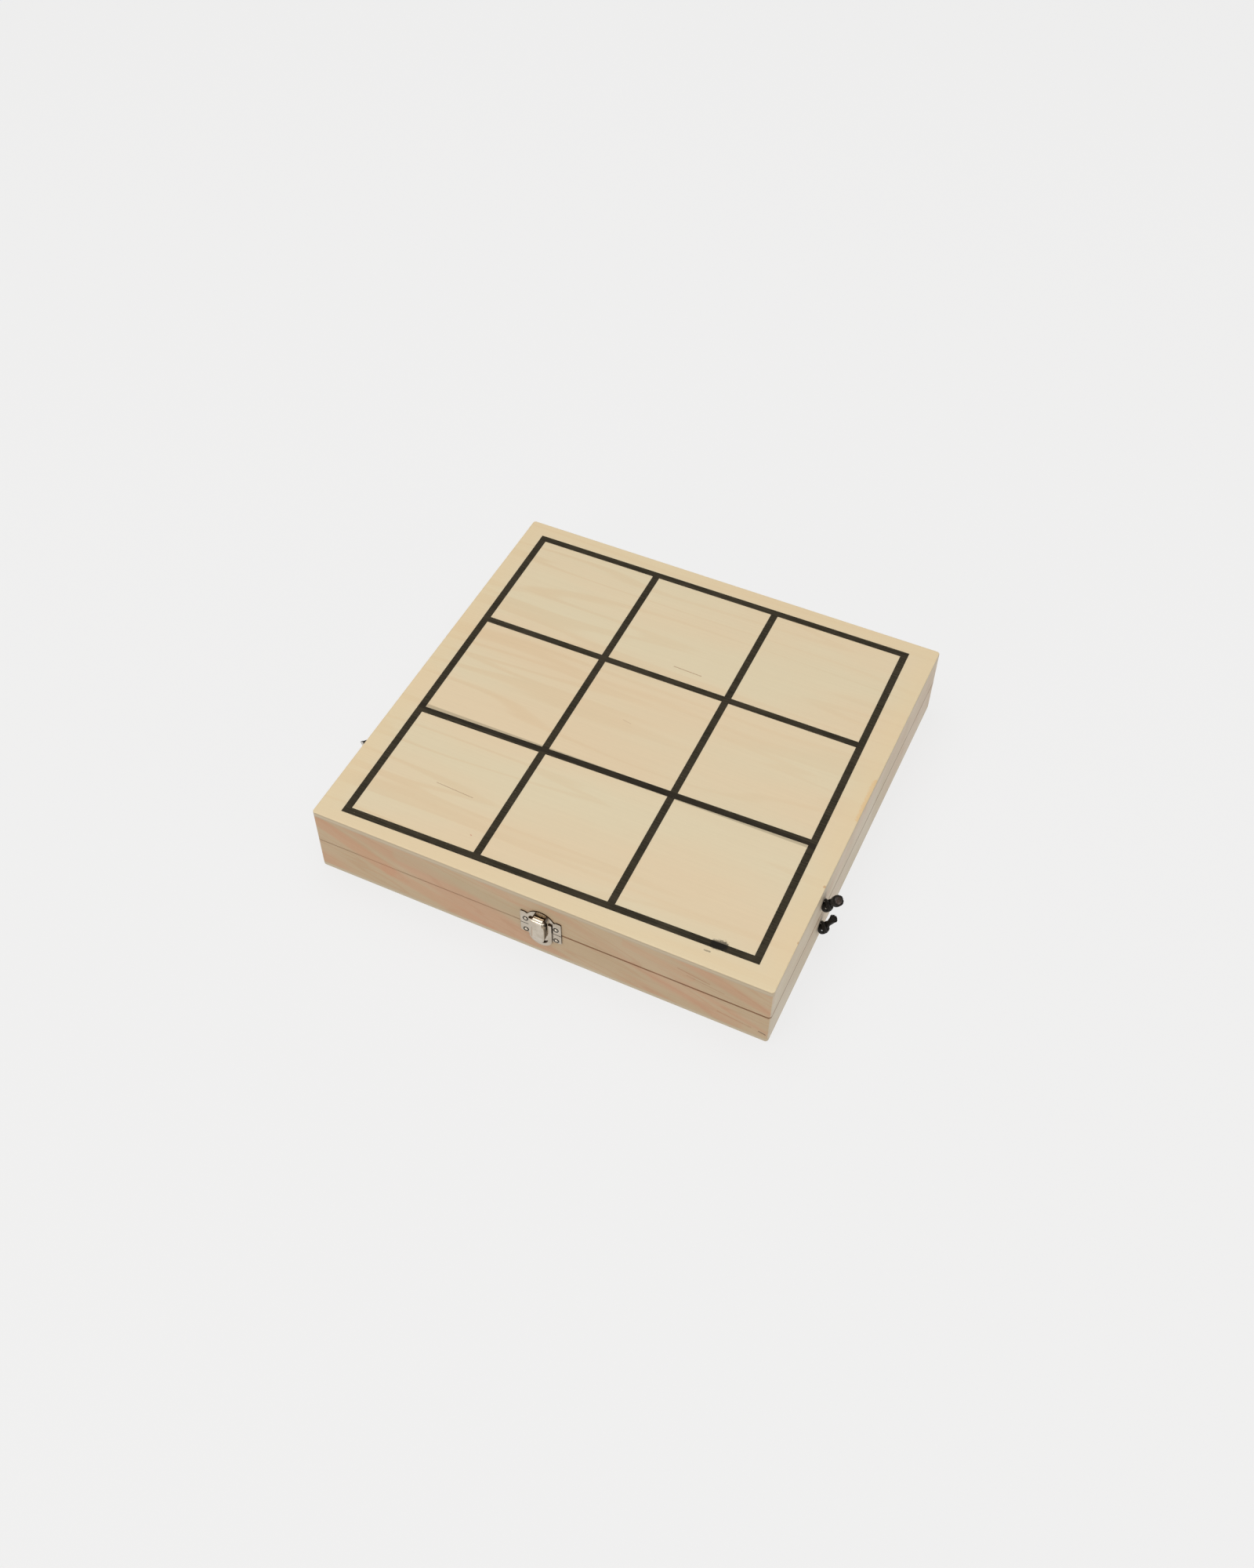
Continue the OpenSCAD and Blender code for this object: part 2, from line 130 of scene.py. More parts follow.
floor_sockets["Emission Strength"].default_value = FLOOR_GLOW
floor.data.materials.append(floor_material)

world = bpy.data.worlds.new("studio sky")
scene.world = world
world.use_nodes = True
sky = world.node_tree
sky_place = sky.nodes.new("ShaderNodeTexCoord")
sky_split = sky.nodes.new("ShaderNodeSeparateXYZ")
sky_ramp = sky.nodes.new("ShaderNodeValToRGB")
sky.links.new(sky_place.outputs["Generated"], sky_split.inputs[0])
sky.links.new(sky_split.outputs["Z"], sky_ramp.inputs["Fac"])
# Each stop is a height, from the horizon at 0 to straight up at 1, and its colour.
SKY_STOPS = ((0.0, (0.66, 0.64, 0.62)), (0.10, (0.60, 0.58, 0.55)), (0.20, (0.22, 0.18, 0.14)),
             (0.62, (0.26, 0.21, 0.16)), (0.74, (1.05, 1.04, 1.03)), (1.0, (1.05, 1.05, 1.06)))
sky_ramp.color_ramp.elements[0].color = (*SKY_STOPS[0][1], 1)
sky_ramp.color_ramp.elements[1].color = (*SKY_STOPS[-1][1], 1)
for height, tint in SKY_STOPS[1:-1]:
    sky_ramp.color_ramp.elements.new(height).color = (*tint, 1)
sky.links.new(sky_ramp.outputs["Color"], sky.nodes["Background"].inputs["Color"])


def lamp(name, place, size, power, tint=(1, 1, 1)):
    """A square soft box at a place, aimed at the game box."""
    data = bpy.data.lights.new(name, "AREA")
    data.size = size
    data.energy = power
    data.color = tint
    soft_box = bpy.data.objects.new(name, data)
    soft_box.location = place
    soft_box.rotation_euler = (-Vector(place)).to_track_quat("-Z", "Y").to_euler()
    scene.collection.objects.link(soft_box)


lamp("overhead soft box", place=(-0.3, -0.1, 1.9), size=1.5, power=9.0)
lamp("front soft box", place=(-0.5, -1.9, 0.55), size=0.8, power=7.5, tint=(1.0, 0.97, 0.94))
lamp("right soft box", place=(1.9, -0.3, 0.6), size=0.9, power=5.2, tint=(1.0, 0.99, 0.97))

# %% [markdown]
# ## Short words for shader nodes
#
# A material is a small graph. Written out in full, each node takes four lines,
# which hides the idea. These helpers add one node per call: a number or colour
# fills a socket, and another node's output is linked to it.


# %% Node helpers
def filled(tree, node, inputs):
    """Fills or links a node's input sockets, and gives its outputs."""
    for socket, value in inputs.items():
        if isinstance(value, bpy.types.NodeSocket):
            tree.links.new(value, node.inputs[socket])
        else:
            node.inputs[socket].default_value = value
    return node.outputs


def add_node(tree, kind, inputs, **settings):
    """Adds a node, sets its properties, and fills its inputs: its outputs."""
    node = tree.nodes.new(kind)
    for name, value in settings.items():
        setattr(node, name, value)
    return filled(tree, node, inputs)


def maths(tree, operation, a, b=0.0):
    """One Math node."""
    return add_node(tree, "ShaderNodeMath", {0: a, 1: b}, operation=operation)[0]


def vector(tree, operation, a, b=(0, 0, 0), output="Vector"):
    """One Vector Math node."""
    return add_node(tree, "ShaderNodeVectorMath", {0: a, 1: b}, operation=operation)[output]


def split(tree, point):
    """The X, Y and Z of a vector."""
    return add_node(tree, "ShaderNodeSeparateXYZ", {0: point})


def joined(tree, x, y, z):
    """A vector from three numbers."""
    return add_node(tree, "ShaderNodeCombineXYZ", {0: x, 1: y, 2: z})[0]


def mixed(tree, share, a, b):
    """Mixes two colours by a share from 0 to 1."""
    a, b = (c if isinstance(c, bpy.types.NodeSocket) else (*c, 1) for c in (a, b))
    return add_node(tree, "ShaderNodeMix", {"Factor": share, 6: a, 7: b}, data_type="RGBA")[2]


def tinted(tree, mask, amount, under, colour):
    """Lays a colour over another by a mask times an amount."""
    return mixed(tree, maths(tree, "MULTIPLY", mask, amount), under, colour)


def spread(tree, value, low, high, to_low=0.0, to_high=1.0):
    """Stretches low..high to a new range, softly at both ends."""
    inputs = {"Value": value, "From Min": low, "From Max": high,
              "To Min": to_low, "To Max": to_high}
    return add_node(tree, "ShaderNodeMapRange", inputs, interpolation_type="SMOOTHSTEP")["Result"]


def noise(tree, point, scale, detail=2.0, roughness=0.5, warp=0.0):
    """Cloudy noise in 3D, 0 to 1."""
    inputs = {"Vector": point, "Scale": scale, "Detail": detail, "Roughness": roughness,
              "Distortion": warp}
    return add_node(tree, "ShaderNodeTexNoise", inputs)[0]


def new_group(name, inputs, outputs):
    """An empty node group with named sockets, where None stands for a vector.

    It gives the group's tree, its inputs and its output node.
    """
    tree = bpy.data.node_groups.new(name, "ShaderNodeTree")
    for label, default in inputs.items():
        kind = "NodeSocketFloat" if default is not None else "NodeSocketVector"
        socket = tree.interface.new_socket(name=label, in_out="INPUT", socket_type=kind)
        if default is not None:
            socket.default_value = default
    for label in outputs:
        tree.interface.new_socket(name=label, in_out="OUTPUT", socket_type="NodeSocketFloat")
    return tree, tree.nodes.new("NodeGroupInput").outputs, tree.nodes.new("NodeGroupOutput")


def use_group(tree, group, inputs):
    """Places a node group in a tree with its own values: its outputs."""
    return add_node(tree, "ShaderNodeGroup", inputs, node_tree=group)


# %% [markdown]
# ## Wood grain, shared by every wooden piece
#
# Sawn across its growth rings, a board shows long nested flames. A cheap and
# convincing way to draw them is to take a very long, smooth noise and to cut
# it into equal steps, like the contour lines of a map. Finer noise, stretched
# fifty times along the board, gives the fibres. A slope lets the flames run
# out of the board's edge, as they do where the log was not quite straight.
# The group puts out masks only, so each wood can colour them in its own way.

# %% Build the wood grain group
FIBRE_STRETCH = 50
wood_grain, given, result = new_group("wood grain", {
    "Point": None, "Flame Length": 0.25, "Flame Width": 0.03, "Ring Count": 6.0,
    "Fibre Width": 0.0012, "Slope": 0.0, "Shift": 0.0},
    ("Rings", "Lines", "Clouds", "Fibres", "Pores"))
tree = wood_grain
place = split(tree, given["Point"])
climb = maths(tree, "ADD", place["Z"], maths(tree, "MULTIPLY", place["X"], given["Slope"]))
flame_point = joined(tree, maths(tree, "DIVIDE", place["X"], given["Flame Length"]),
                     maths(tree, "DIVIDE", place["Y"], given["Flame Width"]),
                     maths(tree, "DIVIDE", climb, given["Flame Width"]))
shift = joined(tree, given["Shift"], given["Shift"], given["Shift"])
flame_point = vector(tree, "ADD", flame_point, shift)
growth = noise(tree, flame_point, 1.0, detail=1.5, roughness=0.4, warp=0.25)
steps = maths(tree, "MULTIPLY", growth, given["Ring Count"])
wave = maths(tree, "SINE", maths(tree, "MULTIPLY", steps, tau))
rings = maths(tree, "ADD", maths(tree, "MULTIPLY", wave, 0.5), 0.5)
fine = maths(tree, "DIVIDE", 1.0, given["Fibre Width"])
lengthwise = maths(tree, "MULTIPLY", fine, 1 / FIBRE_STRETCH)
fibre_point = joined(tree, maths(tree, "MULTIPLY", lengthwise, place["X"]),
                     maths(tree, "MULTIPLY", fine, place["Y"]),
                     maths(tree, "MULTIPLY", fine, place["Z"]))
filled(tree, result, {
    "Rings": rings,
    "Lines": spread(tree, rings, 0.84, 1.0),
    "Clouds": spread(tree, noise(tree, flame_point, 1.7, 3.0), 0.32, 0.70),
    "Fibres": spread(tree, noise(tree, fibre_point, 1.0, 3.0, 0.6), 0.25, 0.75),
    "Pores": spread(tree, noise(tree, fibre_point, 2.6, 1.0), 0.66, 0.76)})
print("wood grain group:", len(tree.nodes), "nodes")

# %% [markdown]
# ## Handling marks, shared by wood and metal
#
# Nothing that is used stays even: a hand leaves faint smudges, and a workshop
# leaves specks. One output is a broad mask, mostly for roughness, and the
# other a sparse mask for colour.

# %% Build the handling group
handling, given, result = new_group("handling marks", {
    "Point": None, "Smudge Size": 0.03, "Speck Size": 0.0015}, ("Smudges", "Specks"))
tree = handling
scaled = {}
for size in ("Smudge Size", "Speck Size"):
    cube = joined(tree, given[size], given[size], given[size])
    scaled[size] = vector(tree, "DIVIDE", given["Point"], cube)
filled(tree, result, {
    "Smudges": spread(tree, noise(tree, scaled["Smudge Size"], 1.0, 4.0), 0.35, 0.7),
    "Specks": spread(tree, noise(tree, scaled["Speck Size"], 1.0, 1.0), 0.70, 0.78)})
print("handling group:", len(tree.nodes), "nodes")

# %% [markdown]
# ## A single stroke
#
# Scratches, stains and blots are strokes: everything nearer than half a width
# to a short line. The nearest point of the line is found with a dot product,
# and its distance becomes a soft mask. Noise on the distance roughens a blot.

# %% Build the stroke group
SOFT_OUTSIDE, SOFT_INSIDE = 1.15, 0.55
WOBBLE_SCALE = 900.0
stroke, given, result = new_group("stroke", {
    "Point": None, "From": None, "To": None, "Half Width": 0.0005, "Unevenness": 0.0}, ("Mask",))
tree = stroke
run = vector(tree, "SUBTRACT", given["To"], given["From"])
lead = vector(tree, "SUBTRACT", given["Point"], given["From"])
part = maths(tree, "DIVIDE", vector(tree, "DOT_PRODUCT", lead, run, "Value"),
             vector(tree, "DOT_PRODUCT", run, run, "Value"))
part = add_node(tree, "ShaderNodeClamp", {"Value": part})[0]
nearest = vector(tree, "MULTIPLY", run, joined(tree, part, part, part))
away = vector(tree, "DISTANCE", lead, nearest, "Value")
wobble = maths(tree, "SUBTRACT", noise(tree, given["Point"], WOBBLE_SCALE, 3.0), 0.5)
away = maths(tree, "ADD", away, maths(tree, "MULTIPLY", wobble, given["Unevenness"]))
filled(tree, result, {"Mask": spread(tree, away,
                                     maths(tree, "MULTIPLY", given["Half Width"], SOFT_OUTSIDE),
                                     maths(tree, "MULTIPLY", given["Half Width"], SOFT_INSIDE))})
print("stroke group:", len(tree.nodes), "nodes")


# %% [markdown]
# ## Starting a material
#
# Every finish starts the same way: a Principled BSDF, and the point on the
# surface in the box's own frame. Object coordinates are used, because each
# piece keeps the frame's origin, so the grain runs on from one piece to the
# next and stays put when the lid opens.


# %% Material helpers
def new_material(name):
    """A material: itself, its tree, its shader and its coordinates."""
    material = bpy.data.materials.new(name)
    material.use_nodes = True
    tree = material.node_tree
    shader = tree.nodes["Principled BSDF"]
    return material, tree, shader, add_node(tree, "ShaderNodeTexCoord", {})


def bump(tree, height, strength, distance):
    """A Bump node: its Normal output."""
    inputs = {"Height": height, "Strength": strength, "Distance": distance}
    return add_node(tree, "ShaderNodeBump", inputs)[0]


def finish(tree, shader, **sockets):
    """Fills the shader's sockets, with _ for a space in a name."""
    filled(tree, shader, {name.replace("_", " "): value for name, value in sockets.items()})


def facing(tree, coordinates, axis, low, high):
    """How squarely the surface looks along an axis, stretched from low..high."""
    square = maths(tree, "ABSOLUTE", split(tree, coordinates["Normal"])[axis])
    return spread(tree, square, low, high)


def grain_at(tree, point, flame, rings, fibre, shift, slope=0.0):
    """The masks of the wood grain. A flame is given as its length and width."""
    return use_group(tree, wood_grain, {
        "Point": point, "Flame Length": flame[0], "Flame Width": flame[1], "Ring Count": rings,
        "Fibre Width": fibre, "Slope": slope, "Shift": shift})


def wear_at(tree, point, smudge, speck):
    """The masks of the handling marks, by the sizes of a smudge and a speck."""
    return use_group(tree, handling, {"Point": point, "Smudge Size": smudge, "Speck Size": speck})


def mark(tree, point, start, end, half_width, unevenness=0.0):
    """The mask of one stroke, with all its measures in millimetres."""
    return use_group(tree, stroke, {
        "Point": point, "From": [v * MM for v in start], "To": [v * MM for v in end],
        "Half Width": half_width * MM, "Unevenness": unevenness * MM})["Mask"]


def darker(colour, r, g, b):
    """A colour with its red, green and blue scaled."""
    return colour[0] * r, colour[1] * g, colour[2] * b


# %% [markdown]
# ## Pine for the rails
#
# The rails are knot-free pine with a pinkish flame. The box was glued shut and
# then sawn in half, so one flame crosses both trays. That comes for free here,
# since both rails read the same coordinates. The two lips of the cut, where the
# trays meet, are painted brown as shade in the seam, mostly right of the hasp.


# %% Mix the pine
# The brown of the painted shade in the seam where the two trays meet.
SEAM_SHADE_BROWN = (0.19, 0.066, 0.016)
LIP_OUTSIDE, LIP_INSIDE = 0.85 * MM, 0.45 * MM
MARK_UNEVENNESS = 0.5


def pine(name, along, light, flame, slope, shift, marks=()):
    """Planed pine with its grain along X or Y."""
    material, tree, shader, coordinates = new_material(name)
    straight = point = coordinates["Object"]
    if along == "Y":
        turn = {"Vector": point, "Rotation": (0, 0, pi / 2)}
        point = add_node(tree, "ShaderNodeMapping", turn)[0]
    grain = grain_at(tree, point, (0.20, 0.030), 3.0, 0.0010, shift, slope)
    thin = grain_at(tree, point, (0.12, 0.016), 7.0, 0.0006, shift + 4.7, slope * 0.7)
    wear = wear_at(tree, point, 0.05, 0.0016)
    colour = tinted(tree, spread(tree, grain["Rings"], 0.30, 0.95), 0.85, light, flame)
    colour = tinted(tree, thin["Lines"], 0.22, colour, darker(flame, 0.86, 0.66, 0.55))
    colour = tinted(tree, grain["Clouds"], 0.16, colour, darker(light, 0.72, 0.70, 0.66))
    colour = tinted(tree, grain["Fibres"], 0.13, colour, darker(flame, 0.62, 0.62, 0.62))
    colour = tinted(tree, thin["Pores"], 0.10, colour, darker(flame, 0.45, 0.45, 0.45))
    where = split(tree, straight)
    from_cut = maths(tree, "ABSOLUTE", maths(tree, "SUBTRACT", where["Z"], PARTING_Z))
    lip = spread(tree, from_cut, LIP_OUTSIDE, LIP_INSIDE)
    upright = facing(tree, coordinates, "Z", 0.9, 0.6)
    to_right = spread(tree, where["X"], -0.012, 0.018, 0.30, 1.0)
    # Painted shade: the lips of the seam between the trays are darkened, mostly towards the right.
    seam_shade = maths(tree, "MULTIPLY", maths(tree, "MULTIPLY", lip, upright), to_right)
    colour = tinted(tree, seam_shade, 1.0, colour, SEAM_SHADE_BROWN)
    y = -HALF_D / MM
    for (x0, z0), (x1, z1), half_width, amount, tint in marks:
        mask = mark(tree, straight, (x0, y, z0), (x1, y, z1), half_width, MARK_UNEVENNESS)
        colour = tinted(tree, mask, amount, colour, tint)
    height = maths(tree, "SUBTRACT", grain["Fibres"], thin["Pores"])
    finish(tree, shader, Base_Color=colour, Normal=bump(tree, height, 0.22, 0.2 * MM),
           Roughness=spread(tree, wear["Smudges"], 0.0, 1.0, 0.42, 0.58), Specular_IOR_Level=0.3)
    return material


RED_GRAIN, PINK_FLAME = (0.34, 0.13, 0.06), (0.56, 0.29, 0.17)
GREEN_BEIGE, DARK_SPOT = (0.47, 0.38, 0.235), (0.10, 0.05, 0.03)
# Each mark on the front: its start and end as (x, z) and its half width, all in
# millimetres, then how strong it is, and its colour.
FRONT_MARKS = (((-150, 47), (-100, 23), 6.5, 0.50, PINK_FLAME),
               ((-100, 23), (-30, 2), 6.0, 0.42, PINK_FLAME),
               ((-90, 42), (-10, 34), 6.0, 0.45, GREEN_BEIGE),
               ((80, 22), (128, 7), 7.0, 0.26, PINK_FLAME),
               ((60, 44), (100, 36), 4.0, 0.26, PINK_FLAME),
               ((92, 41), (112, 37), 0.45, 0.45, RED_GRAIN),
               ((98, 37), (121, 33), 0.40, 0.40, RED_GRAIN),
               ((118, 13), (139, 10), 0.45, 0.40, RED_GRAIN),
               ((144, 9), (148, 8), 0.50, 0.8, DARK_SPOT))
pine_along_x = pine("pine along the front", "X", light=(0.535, 0.405, 0.255),
                    flame=(0.555, 0.340, 0.210), slope=0.32, shift=3.1, marks=FRONT_MARKS)
pine_along_y = pine("pine along the sides", "Y", light=(0.60, 0.525, 0.40),
                    flame=(0.60, 0.49, 0.375), slope=0.02, shift=8.4)
print("pine:", pine_along_x.name, "and", pine_along_y.name)

# %% [markdown]
# ## Plywood for the panels
#
# The panels are thin rotary-cut plywood, paler and calmer than the rails, with
# thin orange streaks and yellowed margins. The face ply shows its long grain,
# while the sawn edge shows thin plies in a greyer green. The surface's own
# direction says which is which: at the edge, the normal lies flat.
#
# The printing screen left a faint first print of one line, a little out of
# turn, and a blot on the front line. Both are strokes on the bare wood.

# %% Mix the plywood
BOARD_TOP = BOX_H / MM
# Each mark on the top: its start and end as (x, y) and its half width, all in
# millimetres, then how strong it is, its colour and its unevenness.
TOP_MARKS = (((-2.5, 58.6), (17, 58.0), 0.38, 0.62, (0.36, 0.19, 0.10), 0.5),
             ((-93.3, -93.6), (-67.7, -94.9), 0.32, 0.60, (0.36, 0.20, 0.11), 0.5),
             ((-12.4, 2.0), (-6.6, 1.1), 0.30, 0.35, (0.45, 0.27, 0.15), 0.4),
             ((-55.0, -120.4), (-54.4, -120.7), 0.45, 0.55, (0.55, 0.16, 0.10), 0.2),
             ((149.1, -65.2), (149.1, -65.7), 0.9, 0.55, (0.50, 0.26, 0.10), 0.5),
             ((149.7, -108.4), (149.7, -109.0), 0.7, 0.50, (0.50, 0.26, 0.10), 0.5),
             ((103.6, -135.9), (106.6, -135.5), 0.7, 0.55, (0.12, 0.10, 0.07), 1.2),
             ((149.5, 22), (150, -10), 2.4, 0.40, (0.74, 0.45, 0.16), 3.5))
# The blot on the front line: its start, its end, its half width and its unevenness.
BLOT = ((107.6, -129.6, BOARD_TOP), (111.8, -128.6, BOARD_TOP), 3.6, 4.2)
GHOST_Y, GHOST_SLOPE, GHOST_HALF = -41.2 * MM, 0.0035, 2.3 * MM
GHOST_SOFT = 0.35 * MM
PRINT_X, PRINT_HALF = -1.5 * MM, 132.5 * MM
MARGIN_FROM, MARGIN_TO = -0.022, -0.004


def ghost_line(tree, where):
    """The mask of the line that was printed twice, a little out of turn."""
    off = maths(tree, "SUBTRACT", maths(tree, "SUBTRACT", where["Y"], GHOST_Y),
                maths(tree, "MULTIPLY", where["X"], GHOST_SLOPE))
    off = maths(tree, "ABSOLUTE", off)
    return spread(tree, off, GHOST_HALF + GHOST_SOFT, GHOST_HALF - GHOST_SOFT)


plywood, tree, shader, coordinates = new_material("pale plywood")
point = coordinates["Object"]
grain = grain_at(tree, point, (0.30, 0.075), 1.8, 0.0013, 5.3)
thin = grain_at(tree, point, (0.30, 0.022), 4.0, 0.0007, 9.1)
wear = wear_at(tree, point, 0.05, 0.0018)
where = split(tree, point)
colour = tinted(tree, grain["Clouds"], 0.7, (0.735, 0.645, 0.450), (0.765, 0.610, 0.410))
colour = tinted(tree, grain["Rings"], 0.08, colour, (0.66, 0.49, 0.30))
to_left = spread(tree, where["X"], 0.06, -0.14, 0.45, 1.0)
streaks = maths(tree, "MULTIPLY", thin["Lines"], to_left)
colour = tinted(tree, streaks, 0.17, colour, (0.62, 0.37, 0.16))
colour = tinted(tree, grain["Fibres"], 0.07, colour, (0.56, 0.42, 0.26))
colour = tinted(tree, thin["Pores"], 0.06, colour, (0.40, 0.27, 0.15))
past_x = maths(tree, "SUBTRACT", maths(tree, "ABSOLUTE", where["X"]), HALF_W)
past_y = maths(tree, "SUBTRACT", maths(tree, "ABSOLUTE", where["Y"]), HALF_D)
margin = spread(tree, maths(tree, "MAXIMUM", past_x, past_y), MARGIN_FROM, MARGIN_TO)
colour = tinted(tree, margin, 0.50, colour, (0.77, 0.625, 0.395))
for (x0, y0), (x1, y1), half_width, amount, tint, unevenness in TOP_MARKS:
    mask = mark(tree, point, (x0, y0, BOARD_TOP), (x1, y1, BOARD_TOP), half_width, unevenness)
    colour = tinted(tree, mask, amount, colour, tint)
from_middle = maths(tree, "ABSOLUTE", maths(tree, "SUBTRACT", where["X"], PRINT_X))
on_board = spread(tree, from_middle, PRINT_HALF + 0.5 * MM, PRINT_HALF - 0.5 * MM)
on_top = spread(tree, where["Z"], BOX_H - 1 * MM, BOX_H - 0.5 * MM)
ghost = maths(tree, "MULTIPLY", maths(tree, "MULTIPLY", ghost_line(tree, where), on_board), on_top)
colour = tinted(tree, ghost, 0.46, colour, (0.235, 0.200, 0.125))
colour = tinted(tree, mark(tree, point, *BLOT), 0.86, colour, (0.050, 0.040, 0.028))
ply = maths(tree, "PINGPONG", maths(tree, "DIVIDE", where["Z"], PANEL_T / 3), 1.0)
ply = spread(tree, ply, 0.35, 0.65)
edge_colour = mixed(tree, ply, (0.57, 0.475, 0.335), (0.50, 0.415, 0.29))
edge_colour = tinted(tree, thin["Fibres"], 0.25, edge_colour, (0.36, 0.28, 0.18))
colour = mixed(tree, facing(tree, coordinates, "Z", 0.75, 0.25), colour, edge_colour)
height = maths(tree, "SUBTRACT", grain["Fibres"], thin["Pores"])
finish(tree, shader, Base_Color=colour, Normal=bump(tree, height, 0.14, 0.2 * MM),
       Roughness=spread(tree, wear["Smudges"], 0.0, 1.0, 0.38, 0.52), Specular_IOR_Level=0.3)
print("plywood nodes:", len(tree.nodes))

# %% [markdown]
# ## Printed ink
#
# The board is screen printed straight onto bare wood. The ink sinks between
# the fibres, so close up it is a mottle of brown-black and a lighter olive.
# Where two prints overlap, it is blacker.

# %% Mix the ink
ink, tree, shader, coordinates = new_material("printed ink")
point = coordinates["Object"]
grain = grain_at(tree, point, (0.04, 0.008), 2.0, 0.0009, 1.0)
wear = wear_at(tree, point, 0.010, 0.0011)
colour = mixed(tree, grain["Fibres"], (0.014, 0.012, 0.007), (0.052, 0.043, 0.026))
colour = tinted(tree, wear["Smudges"], 0.25, colour, (0.080, 0.064, 0.044))
colour = tinted(tree, wear["Specks"], 0.45, colour, (0.17, 0.13, 0.085))
twice = ghost_line(tree, split(tree, point))
colour = tinted(tree, twice, 0.55, colour, (0.018, 0.014, 0.010))
colour = tinted(tree, mark(tree, point, *BLOT), 0.9, colour, (0.010, 0.009, 0.008))
finish(tree, shader, Base_Color=colour, Normal=bump(tree, grain["Fibres"], 0.3, 0.2 * MM),
       Roughness=0.7, Specular_IOR_Level=0.12)
print("ink nodes:", len(tree.nodes))


# %% [markdown]
# ## Nickel plate
#
# Hasp and hinges are pressed from thin steel and nickel plated: a warm, fairly
# sharp mirror with slight ripples from the press, and duller smudges. On flat
# plates the cut edge is painted darker, as shade and a dark reflection.


# %% Mix the nickel
def nickel_plate(name, bright, dull, edge_shade):
    """Nickel plate, with the cut edges of sheet painted dark as shade if asked."""
    material, tree, shader, coordinates = new_material(name)
    wear = wear_at(tree, coordinates["Object"], 0.006, 0.0007)
    colour = mixed(tree, wear["Smudges"], bright, dull)
    colour = tinted(tree, wear["Specks"], 0.3, colour, darker(dull, 0.5, 0.5, 0.5))
    if edge_shade:
        # Painted shade: edges that face neither front nor back are darkened, as shade and a dark
        # reflection.
        edge = facing(tree, coordinates, "Y", 0.75, 0.45)
        colour = mixed(tree, edge, colour, (0.07, 0.045, 0.028))
    finish(tree, shader, Base_Color=colour, Metallic=1.0,
           Roughness=spread(tree, wear["Smudges"], 0.0, 1.0, 0.15, 0.27),
           Normal=bump(tree, wear["Smudges"], 0.05, 0.3 * MM))
    return material


nickel = nickel_plate("nickel plate", (0.64, 0.57, 0.47), (0.54, 0.47, 0.38), False)
nickel_sheet = nickel_plate("nickel sheet", (0.58, 0.51, 0.42), (0.50, 0.43, 0.34), True)
# A near black for painted shade: round the tacks, in the gap between the plates and in the cross
# recesses.
painted_shade, tree, shader, coordinates = new_material("painted shade in gaps and recesses")
wear = wear_at(tree, coordinates["Object"], 0.0006, 0.0003)
colour = mixed(tree, wear["Smudges"], (0.030, 0.025, 0.020), (0.012, 0.010, 0.008))
finish(tree, shader, Base_Color=colour, Roughness=0.6)
print("metal finishes:", nickel.name, nickel_sheet.name, painted_shade.name)

# %% [markdown]
# ## Braided elastic
#
# The cord is a rubber core in a tight black braid. The braid is drawn on the
# cord's own coordinates: two sets of slanted ribs, one leaning left and one
# leaning right, where the higher one hides the other.

# %% Mix the braid and its cut ends
braid, tree, shader, coordinates = new_material("black braid")
unrolled = split(tree, coordinates["UV"])
RIBS_AROUND, RIBS_ALONG = 6.0, 900.0
around = maths(tree, "MULTIPLY", unrolled["X"], RIBS_AROUND * tau)
along = maths(tree, "MULTIPLY", unrolled["Y"], RIBS_ALONG * tau)
weave = maths(tree, "MAXIMUM", maths(tree, "SINE", maths(tree, "ADD", around, along)),
              maths(tree, "SINE", maths(tree, "SUBTRACT", around, along)))
height = spread(tree, weave, -0.6, 1.0)
# Painted shade: the low parts of the weave are darker than the ribs.
colour = mixed(tree, height, (0.004, 0.0032, 0.0022), (0.016, 0.0125, 0.009))
finish(tree, shader, Base_Color=colour, Normal=bump(tree, weave, 0.6, 0.3 * MM), Roughness=0.6,
       Specular_IOR_Level=0.25, Sheen_Weight=0.05)


def mottled(name, light, dark, size, roughness, relief):
    """A small plain substance with blotches of two colours."""
    material, tree, shader, coordinates = new_material(name)
    wear = wear_at(tree, coordinates["Object"], size, size / 3)
    finish(tree, shader, Base_Color=mixed(tree, wear["Smudges"], light, dark), Roughness=roughness,
           Normal=bump(tree, wear["Smudges"], relief, 0.4 * MM))
    return material


melted = mottled("melted cord end", (0.050, 0.030, 0.020), (0.020, 0.013, 0.010),
                 size=0.002, roughness=0.22, relief=0.5)
rubber = mottled("pale rubber strand", (0.80, 0.78, 0.74), (0.56, 0.54, 0.51),
                 size=0.001, roughness=0.6, relief=0.2)
print("cord finishes:", braid.name, melted.name, rubber.name)


# %% [markdown]
# ## Turned pucks
#
# The pucks are turned from beech: fine grain with short dark flecks. Five keep
# their own colour, and five are stained black, so that the grain only shows in
# the gloss.


# %% Mix the puck finishes
def beech(name, light, dark):
    """Turned beech with short flecks."""
    material, tree, shader, coordinates = new_material(name)
    grain = grain_at(tree, coordinates["Object"], (0.05, 0.012), 5.0, 0.0007, 2.2)
    colour = mixed(tree, grain["Rings"], light, dark)
    colour = tinted(tree, grain["Pores"], 0.6, colour, darker(dark, 0.4, 0.4, 0.4))
    finish(tree, shader, Base_Color=colour, Normal=bump(tree, grain["Fibres"], 0.15, 0.2 * MM),
           Roughness=0.34)
    return material


